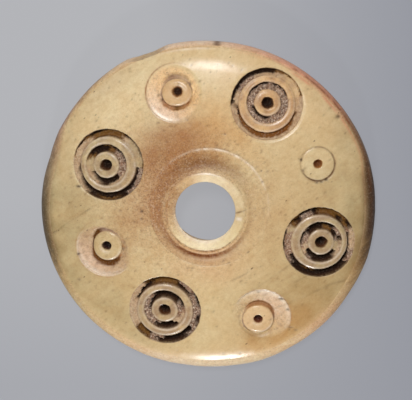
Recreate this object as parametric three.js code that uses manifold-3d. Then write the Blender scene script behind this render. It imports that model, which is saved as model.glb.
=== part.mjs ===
import * as THREE from 'three';
import { mergeVertices } from 'three/addons/utils/BufferGeometryUtils.js';
import Module from 'manifold-3d';

// A bone spindle whorl that lies on its flat underside. Lengths are millimetres, +Z is up, and the
// origin is where the spindle's axis meets the underside.

// Body, turned on a lathe
const RIM_DIAMETER = 33;
const CROWN_HEIGHT = 4.55;
const RIM_HEIGHT = 1.75;
const SIDE_BULGE = 0.2;
const BASE_EDGE_ROUND = 0.3;
const SHOULDER_WIDTH = 2.5;
const SHOULDER_DROP = 0.5;
const RIM_EDGE_WEAR = 0.45;

// How sharply the shoulder turns down, and how the dome's rows crowd towards it
const SHOULDER_POWER = 2.2;
const ROW_CROWDING = 1.3;

// Bore, narrowest just below the lip and splayed towards the underside
const BORE_DIAMETER = 5.9;
const BORE_SPLAY = 0.95;
const LIP_WIDTH = 0.8;
const LIP_CREST_WIDTH = 0.12;
const LIP_BEVEL_DEPTH = 0.27;

// Turned recess around the lip, cut a little off the bore's axis
const RECESS_WIDTH = 2.18;
const RECESS_DEPTH = 0.3;
const RECESS_FLOOR_WIDTH = 0.45;
const RECESS_KNEE_DEPTH = 0.12;
const RECESS_EDGE_DEPTH = 0.05;
const LIP_FOOT_WIDTH = 0.4;
const RECESS_OFFSET_X = 0.36;
const RECESS_OFFSET_Y = 0.4;

// Cutter with a centre spike and two teeth, which leaves a pit, a boss, a groove, a ring and a groove
const PIT_DIAMETER = 1.18;
const PIT_DEPTH = 1.3;
const BOSS_DIAMETER = 2.64;
const INNER_GROOVE_WIDTH = 0.72;
const RING_WIDTH = 0.76;
const OUTER_GROOVE_WIDTH = 0.74;
const GROOVE_DEPTH = 0.55;
const GROOVE_DRAFT = 0.12;

// Cutter with a centre spike and one wide tooth, which leaves a small pit and boss in a shallow dish
const SMALL_PIT_DIAMETER = 0.9;
const SMALL_PIT_DEPTH = 0.8;
const SMALL_BOSS_DIAMETER = 3.0;
const DISH_DIAMETER = 5.8;
const DISH_DEPTH = 0.3;

// Thin circle scribed around the lightest of the small pits
const SCRIBED_DIAMETER = 3.35;
const SCRIBED_WIDTH = 0.16;
const SCRIBED_DEPTH = 0.12;
const SCRIBED_DRAFT = 0.04;

// A spike's pit is a cone with a blunt end, in shares of the pit's width and depth
const PIT_END_WIDTH = 0.6;
const PIT_END_DEPTH = 0.8;

// Flake lost from the rim
const FLAKE_RADIUS = 10;
const FLAKE_BITE = 0.5;
const FLAKE_TURN = 111.5;

// Steps around each turned form, and across the dome
const BODY_STEPS = 64;
const GROOVE_STEPS = 32;
const BOSS_STEPS = 24;
const PIT_STEPS = 10;
const FLAKE_STEPS = 36;
const DOME_ROWS = 6;
const SIDE_ROWS = 2;
const RIM_EDGE_ROWS = 2;
const BASE_EDGE_ROWS = 1;

// Each motif: its turn about the axis in degrees, how far it lies outside the middle of the decorated band,
// and how far its outer groove, or its dish, slipped from the boss's centre towards +X and +Y. A dish's
// cutter also leans by some degrees, towards a turn of its own.
const LARGE_MOTIFS = [
  { turn: 156.2, outward: -0.45, slipX: 0.2, slipY: 0.04 },
  { turn: 60.9, outward: 1.2, slipX: -0.05, slipY: -0.14 },
  { turn: -15.3, outward: 0.55, slipX: -0.18, slipY: 0 },
  { turn: -111.8, outward: -0.2, slipX: 0.02, slipY: -0.05 },
];
const DISHED_MOTIFS = [
  { turn: 104, outward: 0.7, slipX: -0.2, slipY: 0.16, lean: 0, leanTurn: 0 },
  { turn: -65, outward: 0.95, slipX: 0.3, slipY: 0.2, lean: 4, leanTurn: 60 },
  { turn: -158.6, outward: -0.7, slipX: -0.16, slipY: -0.2, lean: 4, leanTurn: -130 },
];
const SCRIBED_MOTIFS = [{ turn: 23.5, outward: 0.8 }];

const BONE = new THREE.MeshStandardMaterial({ color: 0xd2b487, roughness: 0.42, metalness: 0 });

const rimRadius = RIM_DIAMETER / 2;
const shoulderRadius = rimRadius - SIDE_BULGE;
const boreRadius = BORE_DIAMETER / 2;
const lipRadius = boreRadius + LIP_WIDTH;
const recessRadius = lipRadius + RECESS_WIDTH;
const bandRadius = (recessRadius + rimRadius) / 2;
const crownRise = CROWN_HEIGHT - RIM_HEIGHT - SHOULDER_DROP;
const crownRadius = (shoulderRadius ** 2 + crownRise ** 2) / (2 * crownRise);
const clearAbove = CROWN_HEIGHT;

const wasm = await Module();
wasm.setup();

function crownSag(radius) {
  return crownRadius - Math.sqrt(crownRadius ** 2 - radius ** 2);
}

// The dome is an arc that falls off faster over the shoulder
function domeHeight(radius) {
  const shoulder = Math.max(0, (radius - shoulderRadius + SHOULDER_WIDTH) / SHOULDER_WIDTH);
  return CROWN_HEIGHT - crownSag(radius) - SHOULDER_DROP * shoulder ** SHOULDER_POWER;
}

function domeSlope(radius) {
  const step = 0.01;
  return (domeHeight(radius - step) - domeHeight(radius + step)) / (2 * step);
}

// A turned solid from [radius, height] pairs. A profile that keeps off the axis closes on itself.
function turned(profile, steps) {
  const points = profile.map(([radius, height]) => new THREE.Vector2(radius, height));
  const offAxis = Math.min(...points.map((point) => point.x)) > 0;
  if (offAxis) points.push(points[0].clone());
  return new THREE.LatheGeometry(points, steps).rotateX(Math.PI / 2);
}

function solidOf(geometry) {
  const bare = geometry.clone();
  bare.deleteAttribute('normal');
  bare.deleteAttribute('uv');
  const merged = mergeVertices(bare, 1e-5);
  return new wasm.Manifold(new wasm.Mesh({
    numProp: 3,
    vertProperties: new Float32Array(merged.attributes.position.array),
    triVerts: new Uint32Array(merged.index.array),
  }));
}

function geometryOf(solid) {
  const mesh = solid.getMesh();
  const geometry = new THREE.BufferGeometry();
  geometry.setAttribute('position', new THREE.BufferAttribute(new Float32Array(mesh.vertProperties), 3));
  geometry.setIndex(new THREE.BufferAttribute(new Uint32Array(mesh.triVerts), 1));
  geometry.computeVertexNormals();
  return geometry;
}

// Stands a cutter on the dome at x and y, square to the surface there, then leans it so that it cuts deeper
// on the side that leanTurn points to
function onDome(geometry, x, y, lean = 0, leanTurn = 0) {
  const radius = Math.hypot(x, y);
  const slope = domeSlope(radius) / radius;
  const leanSlope = Math.tan(THREE.MathUtils.degToRad(lean));
  const leanAngle = THREE.MathUtils.degToRad(leanTurn);
  const normal = new THREE.Vector3(
    slope * x + leanSlope * Math.cos(leanAngle),
    slope * y + leanSlope * Math.sin(leanAngle),
    1,
  ).normalize();
  const upright = new THREE.Quaternion().setFromUnitVectors(new THREE.Vector3(0, 0, 1), normal);
  const place = new THREE.Vector3(x, y, domeHeight(radius));
  return geometry.clone().applyQuaternion(upright).translate(place.x, place.y, place.z);
}

function motifPlace(motif) {
  const turn = THREE.MathUtils.degToRad(motif.turn);
  const reach = bandRadius + motif.outward;
  return [reach * Math.cos(turn), reach * Math.sin(turn)];
}

// The side swells to its widest at the middle of its height
function sideRadius(height) {
  const fromMiddle = (height - RIM_HEIGHT / 2) / (RIM_HEIGHT / 2);
  return rimRadius - SIDE_BULGE * fromMiddle ** 2;
}

// A worn corner as a curve that is pulled towards the corner's sharp point
function wornCorner(from, corner, to, rows) {
  const curve = new THREE.QuadraticBezierCurve(
    new THREE.Vector2(...from),
    new THREE.Vector2(...corner),
    new THREE.Vector2(...to),
  );
  return curve.getPoints(rows).map((point) => [point.x, point.y]);
}

// Flat underside, worn lower edge, swelling side, worn rim, dome, lip bevel and splayed bore
function bodyProfile() {
  const profile = [[boreRadius + BORE_SPLAY, 0]];
  const baseRadius = sideRadius(0);
  profile.push(...wornCorner(
    [baseRadius - BASE_EDGE_ROUND, 0],
    [baseRadius, 0],
    [sideRadius(BASE_EDGE_ROUND), BASE_EDGE_ROUND],
    BASE_EDGE_ROWS,
  ));
  const wornHeight = RIM_HEIGHT - RIM_EDGE_WEAR;
  for (let row = 1; row < SIDE_ROWS; row += 1) {
    const height = BASE_EDGE_ROUND + (wornHeight - BASE_EDGE_ROUND) * row / SIDE_ROWS;
    profile.push([sideRadius(height), height]);
  }
  const wornRadius = shoulderRadius - RIM_EDGE_WEAR;
  profile.push(...wornCorner(
    [sideRadius(wornHeight), wornHeight],
    [shoulderRadius, RIM_HEIGHT],
    [wornRadius, domeHeight(wornRadius)],
    RIM_EDGE_ROWS,
  ));
  for (let row = 1; row <= DOME_ROWS; row += 1) {
    const share = (row / DOME_ROWS) ** ROW_CROWDING;
    const radius = wornRadius - (wornRadius - lipRadius) * share;
    profile.push([radius, domeHeight(radius)]);
  }
  profile.push([boreRadius, domeHeight(lipRadius) - LIP_BEVEL_DEPTH]);
  return profile;
}

// The recess is an off-centre shallow bowl less the cone that stays standing as the lip
function recessCutter() {
  const footRadius = lipRadius + LIP_FOOT_WIDTH;
  const floorRadius = footRadius + RECESS_FLOOR_WIDTH;
  const kneeRadius = (floorRadius + recessRadius) / 2;
  const floor = -crownSag(footRadius) - RECESS_DEPTH;
  const bowl = turned([
    [0, floor],
    [floorRadius, floor],
    [kneeRadius, -crownSag(kneeRadius) - RECESS_KNEE_DEPTH],
    [recessRadius, -crownSag(recessRadius) - RECESS_EDGE_DEPTH],
    [recessRadius, clearAbove],
    [0, clearAbove],
  ], BODY_STEPS);
  const lipHeight = domeHeight(lipRadius);
  const lipCone = turned([
    [0, lipHeight - 2 * RECESS_DEPTH],
    [lipRadius + 2 * LIP_FOOT_WIDTH, lipHeight - 2 * RECESS_DEPTH],
    [lipRadius + LIP_CREST_WIDTH, lipHeight],
    [lipRadius + LIP_CREST_WIDTH, lipHeight + 2 * clearAbove],
    [0, lipHeight + 2 * clearAbove],
  ], BODY_STEPS);
  return solidOf(onDome(bowl, RECESS_OFFSET_X, RECESS_OFFSET_Y)).subtract(solidOf(lipCone));
}

// A ring-shaped groove between two radii, with sides that draw in towards its floor
function grooveCutter(inner, outer, depth, draft, steps) {
  return turned([
    [inner, 0],
    [inner + draft, -depth],
    [outer - draft, -depth],
    [outer, 0],
    [outer, clearAbove],
    [inner, clearAbove],
  ], steps);
}

// The conical pit left by a cutter's centre spike
function pitCutter(diameter, depth) {
  const radius = diameter / 2;
  return turned([
    [0, -depth],
    [radius * PIT_END_WIDTH, -depth * PIT_END_DEPTH],
    [radius, 0],
    [radius, clearAbove],
    [0, clearAbove],
  ], PIT_STEPS);
}

function cutLargeMotif(solid, motif) {
  const [x, y] = motifPlace(motif);
  const bossRadius = BOSS_DIAMETER / 2;
  const ringInner = bossRadius + INNER_GROOVE_WIDTH;
  const ringOuter = ringInner + RING_WIDTH;
  const grooveOuter = ringOuter + OUTER_GROOVE_WIDTH;
  const pit = pitCutter(PIT_DIAMETER, PIT_DEPTH);
  const inner = grooveCutter(bossRadius, ringInner, GROOVE_DEPTH, GROOVE_DRAFT, BOSS_STEPS);
  const outer = grooveCutter(ringOuter, grooveOuter, GROOVE_DEPTH, GROOVE_DRAFT, GROOVE_STEPS);
  return solid
    .subtract(solidOf(onDome(pit, x, y)))
    .subtract(solidOf(onDome(inner, x, y)))
    .subtract(solidOf(onDome(outer, x + motif.slipX, y + motif.slipY)));
}

// The dish is a shallow cone, deepest around the boss, less the boss itself
function cutDishedMotif(solid, motif) {
  const [x, y] = motifPlace(motif);
  const bossRadius = SMALL_BOSS_DIAMETER / 2;
  const dish = turned([
    [0, -DISH_DEPTH],
    [bossRadius, -DISH_DEPTH],
    [DISH_DIAMETER / 2, 0],
    [DISH_DIAMETER / 2, clearAbove],
    [0, clearAbove],
  ], GROOVE_STEPS);
  const boss = turned([
    [0, -clearAbove / 2],
    [bossRadius, -clearAbove / 2],
    [bossRadius, 2 * clearAbove],
    [0, 2 * clearAbove],
  ], BOSS_STEPS);
  const slipped = onDome(dish, x + motif.slipX, y + motif.slipY, motif.lean, motif.leanTurn);
  const pit = pitCutter(SMALL_PIT_DIAMETER, SMALL_PIT_DEPTH);
  return solid
    .subtract(solidOf(slipped).subtract(solidOf(onDome(boss, x, y))))
    .subtract(solidOf(onDome(pit, x, y)));
}

function cutScribedMotif(solid, motif) {
  const [x, y] = motifPlace(motif);
  const inner = (SCRIBED_DIAMETER - SCRIBED_WIDTH) / 2;
  const circle = grooveCutter(inner, inner + SCRIBED_WIDTH, SCRIBED_DEPTH, SCRIBED_DRAFT, BOSS_STEPS);
  const pit = pitCutter(SMALL_PIT_DIAMETER, SMALL_PIT_DEPTH);
  return solid
    .subtract(solidOf(onDome(circle, x, y)))
    .subtract(solidOf(onDome(pit, x, y)));
}

// An upright round scoop that takes a shallow bite out of the rim
function flakeCutter() {
  const turn = THREE.MathUtils.degToRad(FLAKE_TURN);
  const reach = rimRadius + FLAKE_RADIUS - FLAKE_BITE;
  const below = -CROWN_HEIGHT;
  return turned([
    [0, below],
    [FLAKE_RADIUS, below],
    [FLAKE_RADIUS, clearAbove],
    [0, clearAbove],
  ], FLAKE_STEPS).translate(reach * Math.cos(turn), reach * Math.sin(turn), 0);
}

function whorlGeometry() {
  let solid = solidOf(turned(bodyProfile(), BODY_STEPS)).subtract(recessCutter());
  for (const motif of LARGE_MOTIFS) solid = cutLargeMotif(solid, motif);
  for (const motif of DISHED_MOTIFS) solid = cutDishedMotif(solid, motif);
  for (const motif of SCRIBED_MOTIFS) solid = cutScribedMotif(solid, motif);
  return geometryOf(solid.subtract(solidOf(flakeCutter())));
}

const whorl = new THREE.Mesh(whorlGeometry(), BONE);
whorl.name = 'whorl';

const part = new THREE.Group();
part.add(whorl);

export default part;
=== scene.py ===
import math

import bpy
import numpy as np
from mathutils import Matrix, Vector
from mathutils.geometry import delaunay_2d_cdt


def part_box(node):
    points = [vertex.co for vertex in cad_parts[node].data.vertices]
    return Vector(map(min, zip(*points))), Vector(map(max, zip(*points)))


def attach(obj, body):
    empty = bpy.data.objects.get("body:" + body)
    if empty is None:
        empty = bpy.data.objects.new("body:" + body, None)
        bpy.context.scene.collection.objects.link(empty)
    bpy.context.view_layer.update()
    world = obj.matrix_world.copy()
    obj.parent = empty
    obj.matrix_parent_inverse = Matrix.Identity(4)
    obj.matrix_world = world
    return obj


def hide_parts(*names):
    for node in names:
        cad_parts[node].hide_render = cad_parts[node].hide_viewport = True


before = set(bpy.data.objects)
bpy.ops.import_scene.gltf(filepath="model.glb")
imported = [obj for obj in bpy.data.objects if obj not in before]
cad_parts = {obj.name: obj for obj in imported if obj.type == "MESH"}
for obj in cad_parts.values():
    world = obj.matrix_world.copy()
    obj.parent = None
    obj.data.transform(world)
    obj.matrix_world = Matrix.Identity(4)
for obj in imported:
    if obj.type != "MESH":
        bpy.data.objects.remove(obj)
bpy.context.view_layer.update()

# The whorl is worked out in millimetres and turned into metres when its mesh is made
MM = 0.001

# Body, with the sizes of the frame's solid
CROWN_HEIGHT = 4.55
RIM_HEIGHT = 1.75
SIDE_BULGE = 0.2
BASE_EDGE_ROUND = 0.3
SHOULDER_WIDTH = 2.5
SHOULDER_DROP = 0.5
SHOULDER_POWER = 2.2
BORE_RADIUS = 2.95
BORE_FOOT_RADIUS = 3.9
LIP_RADIUS = 3.75
LIP_BEVEL_DEPTH = 0.27
FLAKE_RADIUS = 10
FLAKE_BITE = 0.5
FLAKE_TURN = 111.5
FLAKE_LEAN = 0.06

# The rim's upper edge is crisp on the side away from the viewer and worn round elsewhere
CRISP_WEAR = 0.2
ROUND_WEAR = 0.75
CRISP_TURN = 85
CRISP_REACH = 62
CRISP_FADE = 18

# Recess around the lip, with a fine ridge between the two turned lines at the lip's foot
RECESS_RADIUS = 5.93
RECESS_CENTRE = (0.36, 0.4)
RECESS_PROFILE = [
    (3.75, 0.0), (3.84, 0.015), (3.98, 0.13), (4.1, 0.13), (4.2, 0.1), (4.3, 0.15), (4.45, 0.34),
    (4.6, 0.33), (4.85, 0.29), (5.3, 0.17), (5.8, 0.07), (6.4, 0.045),
]

# The same recess where wear has softened the turned lines
WORN_PROFILE = [
    (3.75, 0.0), (3.9, 0.03), (4.1, 0.09), (4.4, 0.2), (4.75, 0.29), (5.1, 0.29), (5.45, 0.2), (5.8, 0.1),
    (6.4, 0.05),
]

# Rings of the large motifs
PIT_RADIUS = 0.59
PIT_DEPTH = 1.3
BOSS_RADIUS = 1.32
RING_INNER = 2.04
RING_OUTER = 2.8
GROOVE_OUTER = 3.54
GROOVE_DEPTH = 0.75
WALL_WIDTH = 0.1
EDGE_ROUND = 0.17

# Rings of the small motifs
SMALL_PIT_RADIUS = 0.45
SMALL_PIT_DEPTH = 0.8
SMALL_BOSS_RADIUS = 1.5
DISH_RADIUS = 2.9
DISH_DEPTH = 0.3
DISH_DEEPEST = 0.34
SCRIBED_RADIUS = 1.68
SCRIBED_WIDTH = 0.1
SCRIBED_DEPTH = 0.12

# Edges of raised rings and bosses: radius, the side on which the bone stands, and how deeply the edge is worn
LARGE_EDGES = [(BOSS_RADIUS, 1, 0.09), (RING_INNER, -1, 0.07), (RING_OUTER, 1, 0.11)]
SMALL_EDGES = [(0, 1, 0.11)]

# A pit's depth as a share of the whole, by the share of its radius
PIT_PROFILE = [(0, 1), (0.55, 0.75), (0.9, 0.25), (1, 0.05), (1.1, 0)]

# Rows of points inwards and down from the lip's crest, then outwards and up from the bore's edge
BEVEL_ROWS = [(0.03, 0.002), (0.08, 0.014), (0.2, 0.055), (0.4, 0.125), (0.6, 0.195)]
BORE_EDGE_ROWS = [(0.07, 0.02), (0.02, -0.005), (0.0, -0.06)]
BORE_FOOT_ROUND = 0.06

# Mesh spacing in millimetres, steps around, and rows down the rim's wear, the side, its foot and the bore
LATTICE_STEP = 0.138
RING_STEP = 0.105
EDGE_GAP = 0.06
UNDER_STEP = 0.9
RING_LEAST_STEPS = 8
RIM_STEPS = 480
BORE_STEPS = 240
RECESS_STEPS = 360
WEAR_ROWS = 8
SIDE_ROWS = 7
FOOT_ROWS = 5
BORE_ROWS = 9
NOISE_GRID = 256

# Radii of the mesh's rings around motifs and lip, and how far the recess's own rings lie from its edge
LARGE_RINGS = [
    0.0, 0.15, 0.3, 0.42, 0.5, 0.55, 0.59, 0.63, 0.7, 0.85, 1.0, 1.12, 1.2, 1.26, 1.31, 1.35, 1.4, 1.46,
    1.54, 1.64, 1.74, 1.84, 1.92, 1.98, 2.03, 2.07, 2.12, 2.2, 2.32, 2.44, 2.56, 2.66, 2.72, 2.77, 2.81,
    2.86, 2.92, 3.0, 3.1, 3.2, 3.3, 3.38, 3.44, 3.49, 3.54, 3.6, 3.68, 3.78, 3.9,
]
SMALL_RINGS = [
    0.0, 0.12, 0.24, 0.34, 0.4, 0.45, 0.5, 0.58, 0.72, 0.9, 1.08, 1.22, 1.32, 1.39, 1.44, 1.49, 1.53, 1.58,
    1.65, 1.74, 1.86, 2.0, 2.14, 2.28, 2.42, 2.55, 2.66, 2.75, 2.82, 2.87, 2.91, 2.96, 3.04, 3.14,
]
SCRIBED_RINGS = SMALL_RINGS[:12] + [1.36, 1.48, 1.55, 1.6, 1.64, 1.68, 1.72, 1.76, 1.81, 1.9]
LIP_RINGS = [3.8, 3.86, 3.92, 3.98, 4.05, 4.12, 4.19, 4.26, 4.33, 4.4, 4.46, 4.53, 4.62, 4.73, 4.86]
RECESS_GAPS = (-0.1, -0.05, -0.015, 0.015, 0.05, 0.1)

UPRIGHT = np.array((0, 0, 1))


def tone(red, green, blue):
    """A colour given as it looks on a screen, as linear light."""
    share = np.array((red, green, blue)) / 255
    return np.where(share <= 0.04045, share / 12.92, ((share + 0.055) / 1.055) ** 2.4)


BONE = tone(222, 198, 152)
CREAM = tone(236, 219, 176)
# Near-white for pale worn bone, and for painted highlights on edges, rims and crests
CHALK_AND_HIGHLIGHT = tone(248, 236, 216)
BROWN = tone(174, 118, 64)
RUST = tone(172, 108, 56)
AMBER = tone(120, 80, 16)
HONEY = tone(222, 176, 112)
PALE = tone(190, 170, 130)
# Olive for painted shade that darkens the whorl's left and right sides
OLIVE_SHADE = tone(158, 140, 98)
ROSE = tone(198, 171, 138)
MAUVE = tone(160, 130, 108)
GREY = tone(170, 148, 130)
# Near-black for dirt, and for painted shade on the floors of open grooves and in the cores of pits
SOOT_AND_SHADE = tone(34, 16, 2)
UMBER = tone(90, 50, 14)
SALMON = tone(222, 140, 112)

# The rim's tint at some turns, for the side and for the dome's last millimetre, with painted shade that makes
# it darkest at the left and right, where no lamp falls
RIM_TINTS_AND_SHADE = [
    (0, tone(76, 54, 34)), (12, tone(92, 64, 38)), (22, tone(150, 118, 84)), (32, tone(172, 134, 98)),
    (42, tone(220, 154, 120)), (62, tone(238, 180, 150)), (75, tone(246, 204, 172)),
    (90, tone(250, 224, 196)), (106, tone(250, 226, 196)), (120, tone(238, 210, 170)),
    (135, tone(212, 182, 140)), (150, tone(196, 160, 136)), (165, tone(160, 140, 110)),
    (180, tone(100, 84, 54)), (197, tone(98, 82, 52)), (207, tone(196, 168, 118)),
    (225, tone(226, 200, 152)), (240, tone(240, 208, 162)), (255, tone(250, 226, 192)),
    (270, tone(252, 232, 198)), (285, tone(248, 226, 186)), (300, tone(246, 212, 164)),
    (315, tone(234, 194, 152)), (330, tone(200, 168, 120)), (340, tone(150, 120, 76)),
    (349, tone(84, 62, 38)),
]

# The lip's tint at some turns
LIP_TINTS = [
    (90, tone(246, 226, 186)), (60, tone(244, 228, 192)), (20, tone(232, 212, 170)),
    (-5, tone(216, 192, 148)), (-35, tone(236, 216, 168)), (-90, tone(252, 240, 200)),
    (-135, tone(250, 232, 188)), (-160, tone(222, 192, 146)), (180, tone(204, 170, 126)),
    (150, tone(200, 164, 118)), (120, tone(222, 190, 142)),
]

# Lines along the recess's edge: how far inside it, reach, turn and spread, strength, whether patchy, colour
# and dullness
RECESS_EDGE_LINES = [
    (0.04, 0.12, 72, 50, 0.85, True, CHALK_AND_HIGHLIGHT, None),
    (-0.14, 0.07, 66, 24, 0.6, True, UMBER, None),
    (0.0, 0.09, -95, 40, 0.35, False, CREAM, 0.4),
]

# Bands within the recess: radius and reach, or None for its whole slope, turn and spread, strength, the share
# that goes all the way round, graininess, colour, dullness and grit. The first two rows are painted shade on
# the upper slope, which faces away from the lamp.
RECESS_BANDS = [
    # Painted shade on the upper slope, which faces away from the lamp
    (None, 95, 56, 0.6, 0.0, 0.0, tone(132, 88, 40), 0.3, 0.4),
    ((4.95, 0.26), 98, 36, 0.5, 0.0, 0.0, tone(132, 88, 40), 0.3, None),
    (None, 180, 55, 0.5, 0.0, 0.0, BROWN, 0.4, 0.7),
    (None, -90, 60, 0.3, 0.0, 0.0, BROWN, None, None),
    ((4.25, 0.26), -98, 58, 0.75, 0.0, 0.0, tone(214, 154, 92), 0.5, 0.5),
    ((4.52, 0.24), -98, 58, 1.0, 0.06, 0.3, tone(122, 62, 2), 0.8, 0.2),
    ((3.98, 0.1), -98, 58, 0.7125, 0.0842, 1.2, BROWN * 0.55, 0.8, None),
    ((4.24, 0.07), -87.67, 37.87, 0.8043, 0.0, 0.0, tone(250, 220, 180), None, None),
]

# The nick at the right of the lip
LIP_NICK = (3.32, 0.0)

# How far the rim lies outside or inside a true circle at some turns, in millimetres
RIM_DRIFT = [
    (0, 0.0), (20, 0.08), (45, 0.0), (62, -0.03), (88, -0.1), (102, -0.06), (122, -0.05), (142, -0.16),
    (154, -0.13), (164, -0.26), (172, -0.12), (180, -0.03), (200, 0.08), (222, 0.16), (250, 0.1),
    (262, 0.0), (278, 0.0), (288, 0.1), (300, 0.03), (316, 0.03), (328, -0.05), (342, 0.06), (352, 0.0),
]


def fill(fullness, crumbs, speckle, cover, matte, colour):
    """What lies in a groove: how full, how crumbly, how speckled, how opaque and how dull it is."""
    return np.array((fullness, crumbs, speckle, cover, matte, *colour))


FILLS = {
    # An open groove is empty: its near-black floor is dirt and painted shade
    "open": fill(0.0, 0.2, 0.05, 1.0, 1.0, SOOT_AND_SHADE),
    "amber": fill(0.3, 0.1, 0.15, 0.97, 0.6, AMBER),
    "umber": fill(0.3, 0.1, 0.15, 1.0, 0.8, tone(106, 62, 6)),
    "russet": fill(0.44, 0.1, 0.3, 1.0, 0.6, tone(128, 77, 2)),
    "tan": fill(0.5, 0.1, 0.4, 0.85, 0.6, tone(158, 104, 50)),
    "crumb": fill(0.74, 1.0, 0.9, 1.0, 0.95, GREY),
    "mauve": fill(0.86, 0.5, 0.7, 0.95, 0.9, MAUVE),
    "rose": fill(0.92, 0.35, 0.4, 0.9, 0.75, ROSE),
    "bone": fill(0.96, 0.1, 0.15, 0.3, 0.3, PALE),
}


def sectors(rows):
    """A groove's fills by turn, from rows of words: turn, fill at the inner wall, fill at the outer wall
    if that is another, and the share of the groove's width where the two meet if that isn't half."""
    table = []
    for row in rows.split(","):
        turn, inner, *rest = row.split()
        outer, split = rest + [inner, 0.5][len(rest):]
        table.append((float(turn), FILLS[inner], FILLS[outer], float(split)))
    return table


# The large motifs, with what fills their two grooves all the way round
LARGE_MOTIFS = [
    {
        "land": tone(192, 174, 132),
        "turn": 156.2, "outward": -0.45, "slip": (0.2, 0.04), "nick": (205, 0.12), "bevel": (0.22, 0.07, 215),
        "inner": sectors("""
            90 open amber 0.7, 70 amber open, 52 crumb open 0.6, 35 crumb open 0.7, 10 crumb open 0.85,
            -10 crumb, -35 crumb rose 0.7, -48 open rose 0.7, -70 open rose 0.75, -93 open open 0.95,
            -115 open rose 0.7, -140 open rose 0.4, -158 bone rose, 175 bone, 160 bone amber 0.6,
            150 amber open, 132 open, 110 open
        """),
        "outer": sectors("""
            92 amber, 70 amber, 58 rose open 0.6, 40 bone open 0.8, 15 bone open 0.88, 0 bone amber 0.88,
            -10 open crumb 0.15, -28 open crumb 0.35, -48 open crumb 0.6, -62 open, -90 open amber 0.8,
            -118 open open 0.6, -134 open rose 0.7, -150 open rose 0.35, -170 open rose 0.2, 176 rose,
            158 rose amber 0.85, 146 rose open 0.8, 132 rose amber 0.6, 120 amber open 0.6, 106 amber open 0.7
        """),
    },
    {
        "land": tone(224, 176, 116),
        "turn": 60.9, "outward": 1.2, "slip": (-0.05, -0.14), "nick": (-40, 0.12), "bevel": (0.34, 0.09, -60),
        "inner": sectors("""
            85 crumb, 100 crumb open 0.75, 125 crumb open 0.72, 150 crumb open 0.8, 165 crumb, 188 crumb,
            200 open crumb 0.25, 225 open crumb 0.35, 262 open crumb 0.35, 290 crumb, 340 crumb, 10 crumb,
            30 crumb open 0.88, 60 crumb open 0.85
        """),
        "outer": sectors("""
            84 rose open 0.4, 105 rose open 0.3, 122 crumb open 0.4, 138 crumb open 0.55, 150 crumb open 0.45,
            162 rose open 0.6, 176 rose open 0.78, 190 open rose 0.12, 208 russet rose 0.34,
            232 russet rose 0.54, 255 russet rose 0.66, 272 russet rose 0.72, 296 russet rose 0.66,
            318 russet rose 0.48, 338 amber rose 0.26, 352 rose, 8 bone rose, 20 bone amber 0.88,
            36 bone tan 0.88, 56 bone amber 0.86, 70 rose amber
        """),
    },
    {
        "land": tone(188, 168, 130),
        "turn": -15.3, "outward": 0.55, "slip": (-0.18, 0.0), "nick": (8, 0.16), "bevel": (0.2, 0.05, 215),
        "inner": sectors("""
            88 open, 70 amber open, 52 amber open 0.4, 38 open mauve, 22 open crumb, 6 crumb open 0.4,
            -8 bone rose, -30 bone rose, -40 open rose 0.7, -65 open, -105 open, -132 open crumb 0.7,
            -148 open rose, -158 rose, -172 rose crumb 0.6, 175 crumb open 0.75, 155 crumb open 0.6,
            142 open crumb 0.7, 125 open
        """),
        "outer": sectors("""
            88 amber, 62 amber, 46 open amber 0.4, 30 amber open, 18 mauve rose, 4 open rose 0.12,
            -10 open rose 0.2, -20 open crumb 0.3, -34 open mauve 0.55, -46 open, -90 open,
            -112 amber open 0.4, -132 open, -148 open crumb 0.4, -160 mauve, 178 mauve open 0.88,
            165 mauve open 0.9, 154 bone rose 0.6, 144 amber amber 0.4, 132 open amber, 120 crumb open 0.4,
            104 crumb open 0.6, 96 open
        """),
    },
    {
        "land": tone(192, 168, 130),
        "turn": -111.8, "outward": -0.2, "slip": (0.02, -0.05), "nick": (-30, 0.1), "bevel": (0.2, 0.06, 20),
        "inner": sectors("""
            120 open, 88 open, 40 open, 18 crumb open, 4 crumb mauve, -15 mauve rose, -40 rose,
            -56 rose open 0.6, -66 open, -95 open, -112 crumb open, -130 crumb, -165 crumb,
            172 open crumb 0.3, 150 open crumb 0.35, 134 open mauve
        """),
        "outer": sectors("""
            108 amber open, 98 amber, 72 amber, 60 open crumb 0.4, 42 open mauve 0.35, 28 crumb open 0.7,
            12 crumb open 0.6, -4 crumb, -14 crumb open, -30 crumb, -42 open crumb 0.8, -60 open, -84 open,
            -98 crumb open, -112 crumb, -124 open amber, -142 amber, -156 rose, 180 rose, 166 rose,
            152 open rose 0.2, 134 open rose 0.35, 118 open amber 0.4
        """),
    },
]
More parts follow.
